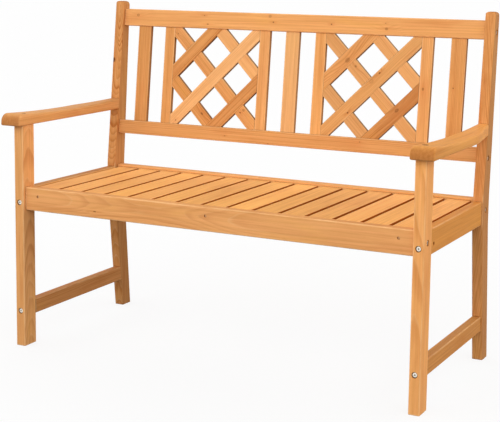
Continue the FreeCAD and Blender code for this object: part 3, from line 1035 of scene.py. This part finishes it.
@dataclass
class Back:
    """The back: two rails, three slats, and two lattice panels between their stiles."""

    timber: Timber
    seed: int = 400
    # painted light and shade on the narrow edges of the uprights and bars
    upright_edge: float = 0.6
    upright_shade: float = 0.3
    bar_edge: float = 0.45
    climb_spread: float = 0.03
    stains: dict[str, Stain] = field(
        default_factory=lambda: {
            "back_top_rail": Stain(0.93, 0.0, 0.1, 0.45),
            "back_bottom_rail": Stain(0.81, 0.0, 0.1),
            "back_slat_left": Stain(0.8, -0.05),
            "back_slat_middle": Stain(0.88, 0.0, 0.45),
            "back_slat_right": Stain(0.85),
            "stile_left_inner": Stain(0.91, 0.0, 0.15),
            "stile_right_inner": Stain(0.92, 0.15, 0.1),
            "stile_right_outer": Stain(0.92, 0.1, 0.15),
            "lattice_left_rising_low": Stain(0.78, -0.2, 0.0, 1.2),
            "lattice_left_rising_main": Stain(0.94, 0.0, 0.45),
            "lattice_left_rising_high": Stain(0.81, -0.2, 0.0, 1.2),
            "lattice_left_falling_low": Stain(0.82, -0.1, 0.0, 1.2),
            "lattice_left_falling_main": Stain(0.88, -0.15, 0.1, 1.2),
            "lattice_left_falling_high": Stain(0.93, 0.0, 0.3),
            "lattice_right_rising_low": Stain(0.72, -0.3, 0.0, 1.3),
            "lattice_right_rising_main": Stain(0.83, 0.2, 0.2, 1.8),
            "lattice_right_rising_high": Stain(0.87, -0.1, 0.1, 1.2),
            "lattice_right_falling_low": Stain(0.76, 0.0, 0.25),
            "lattice_right_falling_main": Stain(0.83, 0.0, 0.2, 1.2),
            "lattice_right_falling_high": Stain(0.9, 0.0, 0.25),
        }
    )
    knots: dict[str, tuple[Knot, ...]] = field(
        default_factory=lambda: {
            "back_top_rail": (
                Knot(-502.0, 7.0, 4.0, 0.55, hollow=0.7),
                Knot(-280.0, 12.0, 1.6, 0.6),
                Knot(-268.0, -12.0, 1.4, 0.75, 3.0),
                Knot(-71.0, 16.0, 4.5, 0.3),
                Knot(-60.0, 0.0, 2.0, 0.75),
                Knot(116.0, 0.0, 2.0, 0.75),
                Knot(273.0, 8.0, 1.4, 0.5),
                Knot(276.0, -7.0, 4.2, 0.4),
            ),
            "back_bottom_rail": (
                Knot(-192.0, -4.0, 1.5, 0.6),
                Knot(-54.0, -16.0, 1.5, 0.6),
                Knot(220.0, 9.0, 1.5, 0.6),
            ),
            "back_slat_right": (Knot(9.0, 8.0, 1.6, 0.8),),
            "stile_right_outer": (Knot(2.0, 5.0, 3.2, 0.7, hollow=0.6),),
            "lattice_right_rising_high": (Knot(-3.0, 14.0, 6.5, 0.4, 1.4),),
            "lattice_right_falling_main": (Knot(-70.0, 5.0, 3.0, 0.5),),
            "lattice_right_rising_main": (
                Knot(44.0, 10.0, 2.0, 0.85, 1.8),
                Knot(-95.0, -9.0, 2.2, 0.85),
                Knot(12.0, 9.0, 6.0, 0.2, hollow=0.5),
            ),
            "lattice_right_rising_low": (Knot(16.0, -13.0, 4.5, 0.55, 1.6, 0.4),),
            "lattice_left_falling_low": (Knot(49.0, -13.0, 2.4, 0.7, 2.0),),
            "lattice_left_falling_main": (
                Knot(-175.0, -4.0, 2.0, 0.5),
                Knot(132.0, 9.0, 4.0, 0.35),
                Knot(130.0, -3.0, 2.0, 0.9),
            ),
            "lattice_left_rising_high": (Knot(-54.0, -7.0, 2.5, 0.6),),
            "lattice_left_rising_main": (Knot(-175.0, -7.0, 2.0, 0.6),),
        }
    )

    def bar(self, slope: Slope) -> Vector:
        """Return the direction of the lattice bars of one slope."""
        return (RIGHTWARD + BACK_UP * slope.value).normalized()

    def boards(self) -> dict[str, Board]:
        """Choose the boards of the back.

        Returns:
            The grain of each board, by its name.
        """
        rail = Board(RIGHTWARD, BACK_OUT, seed=self.seed)
        upright = Board(BACK_UP, BACK_OUT, Cut.QUARTER, edge=self.upright_edge, shaded=self.upright_shade)
        made = {
            "back_top_rail": rail,
            "back_bottom_rail": replace(rail, cut=Cut.QUARTER, seed=self.seed + 1),
        }
        slats = [f"back_slat_{place}" for place in ("left", "middle", "right")]
        stiles = [f"stile_{side.word}_{place}" for side in Side for place in ("inner", "outer")]
        for name in slats + stiles:
            made[name] = replace(upright, seed=self.seed + len(made))
        draw = np.random.default_rng(self.seed)
        for side in Side:
            for slope in Slope:
                for tier in ("low", "main", "high"):
                    name = f"lattice_{side.word}_{slope.name.lower()}_{tier}"
                    made[name] = Board(
                        self.bar(slope),
                        BACK_OUT,
                        climb=float(draw.uniform(-self.climb_spread, self.climb_spread)),
                        edge=self.bar_edge,
                        seed=self.seed + len(made),
                    )
        for name, board in made.items():
            stain = asdict(self.stains.get(name, Stain()))
            made[name] = replace(board, knots=self.knots.get(name, ()), **stain)
        return made

    def dress(self) -> None:
        """Give each board of the back its wood."""
        for name, board in self.boards().items():
            dress(name, self.timber.material(name, board))


@dataclass
class Hardware:
    """The fasteners: plated steel, brown and very dark with oxide and painted shade where it sits deep, and
    dowels of plain wood.
    """

    timber: Timber
    dowel_figure: float = 0.6
    plating: Plating = Plating()
    # oxide and painted shade on the fasteners that sit deep in their holes
    tarnish: Plating = Plating(linear(214, 160, 108), linear(186, 126, 76), linear(150, 94, 52), metal=0.0)
    black: Plating = Plating(linear(74, 48, 30), linear(54, 34, 20), linear(30, 18, 10), metal=0.0)
    bright: tuple[str, ...] = ("leg_bolts", "rail_bolts", "slat_screws", "lattice_pins")
    tarnished: tuple[str, ...] = ("batten_screws", "barrel_nuts")
    blackened: tuple[str, ...] = ("arm_screws",)

    def dress(self) -> None:
        """Give the steel its plating and the dowels their wood."""
        finishes = (self.plating, self.bright), (self.tarnish, self.tarnished), (self.black, self.blackened)
        for finish, names in finishes:
            for name in names:
                dress(name, finish.material(name))
        dress("dowels", self.timber.material("dowels", Board(RIGHTWARD, FORWARD, figure=self.dowel_figure)))


@dataclass
class Studio:
    """The pale floor, the soft light and the camera. The camera is where the photograph's was."""

    floor_reach: float = 60.0
    floor_points: int = 3
    floor_bounce: Triple = (0.15, 0.15, 0.15)
    floor_white: Triple = (0.92, 0.92, 0.92)
    floor_shadow: float = 0.16
    horizon: float = 1.8
    zenith: float = 0.1
    band_base: float = 0.57
    band_top: float = 0.9
    key_place: Triple = (0.8, -4.4, 2.2)
    key_aim: Triple = (0.0, 0.0, 0.4)
    key_size: float = 3.0
    key_power: float = 25.0
    eye: Triple = (1.5273, -2.9886, 1.0383)
    azimuth: float = 27.0861
    fall: float = 7.8992
    roll: float = 0.6878
    focal_pixels: float = 1292.6
    axis_row: float = 140.0
    width_pixels: int = 500
    height_pixels: int = 422
    sensor: float = 36.0

    def shown(self, nodes: Nodes) -> Signal:
        """Return 1 where a ray comes from the camera, a reflection or through glass."""
        path = nodes.add("ShaderNodeLightPath", {}, {})
        return path["Is Camera Ray"].most(path["Is Glossy Ray"]).most(path["Is Transmission Ray"])

    def floor(self) -> None:
        """Lay the floor: a flat square, its height 0 at every pair of its two parameters."""
        count = self.floor_points
        steps = np.linspace(-self.floor_reach, self.floor_reach, count)
        grid_x, grid_y = np.meshgrid(steps, steps)
        points = np.stack((grid_x, grid_y, np.zeros_like(grid_x)), axis=-1).reshape(-1, 3)
        first = np.arange(count * count).reshape(count, count)[:-1, :-1].ravel()
        faces = np.stack((first, first + 1, first + count + 1, first + count), axis=1)
        mesh = bpy.data.meshes.new("floor")
        mesh.from_pydata(points.tolist(), [], faces.tolist())
        piece = bpy.data.objects.new("floor", mesh)
        bpy.context.scene.collection.objects.link(piece)
        surface = Surface("floor_paint")
        shown = self.shown(surface)
        colour = surface.mix(shown, self.floor_bounce, self.floor_white)
        paint = surface.add("ShaderNodeBsdfDiffuse", {}, {"Color": colour})
        glow = surface.add("ShaderNodeEmission", {}, {"Color": (*WHITE, 1.0), "Strength": 1.0})
        share = shown * (1 - self.floor_shadow)
        both = surface.add("ShaderNodeMixShader", {}, {0: share, 1: paint["BSDF"], 2: glow["Emission"]})
        mesh.materials.append(surface.finish(both["Shader"]))
        log.info("laid the floor")

    def light(self) -> None:
        """Light the bench with a sky that is brightest low down, and with a broad lamp in front."""
        world = bpy.data.worlds.new("studio")
        world.use_nodes = True
        bpy.context.scene.world = world
        sky = Nodes(world.node_tree)
        height = sky.parts(sky.coordinate("Object"))[2]
        lit = self.zenith + height.rise(self.band_top, self.band_base) * (self.horizon - self.zenith)
        strength = lit + self.shown(sky) * (1 - lit)
        back = sky.add("ShaderNodeBackground", {}, {"Color": (*WHITE, 1.0), "Strength": strength})
        sky.add("ShaderNodeOutputWorld", {}, {"Surface": back["Background"]})
        lamp = bpy.data.lights.new("key", "AREA")
        lamp.shape = "DISK"
        lamp.size = self.key_size
        lamp.energy = self.key_power
        piece = bpy.data.objects.new("key", lamp)
        piece.location = self.key_place
        aim = Vector(self.key_aim) - piece.location
        piece.rotation_euler = aim.to_track_quat("-Z", "Y").to_euler()
        bpy.context.scene.collection.objects.link(piece)
        log.info("lit the bench")

    def camera(self) -> None:
        """Set the camera up, turned by its azimuth, its fall below the horizon and its roll."""
        turn, fall, roll = (math.radians(angle) for angle in (self.azimuth, self.fall, self.roll))
        ahead = Vector((-math.sin(turn) * math.cos(fall), math.cos(turn) * math.cos(fall), -math.sin(fall)))
        right = Vector((math.cos(turn), math.sin(turn), 0.0))
        above = right.cross(ahead)
        across = right * math.cos(roll) + above * math.sin(roll)
        upright = above * math.cos(roll) - right * math.sin(roll)
        data = bpy.data.cameras.new("camera")
        data.sensor_width = self.sensor
        data.lens = self.focal_pixels * self.sensor / self.width_pixels
        data.shift_y = (self.axis_row - self.height_pixels / 2) / self.width_pixels
        piece = bpy.data.objects.new("camera", data)
        turned = Matrix((across, upright, -ahead)).transposed().to_4x4()
        piece.matrix_world = Matrix.Translation(self.eye) @ turned
        bpy.context.scene.collection.objects.link(piece)
        bpy.context.scene.camera = piece
        log.info("set up the camera")


def main() -> None:
    """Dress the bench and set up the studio."""
    logging.basicConfig(level=logging.INFO, format="%(name)s: %(message)s")
    timber = Timber()
    SideFrame.left(timber).dress()
    SideFrame.right(timber).dress()
    Seat(timber).dress()
    Back(timber).dress()
    Hardware(timber).dress()
    studio = Studio()
    studio.floor()
    studio.light()
    studio.camera()
    bpy.context.scene.view_settings.view_transform = "Standard"


if __name__ == "__main__":
    main()
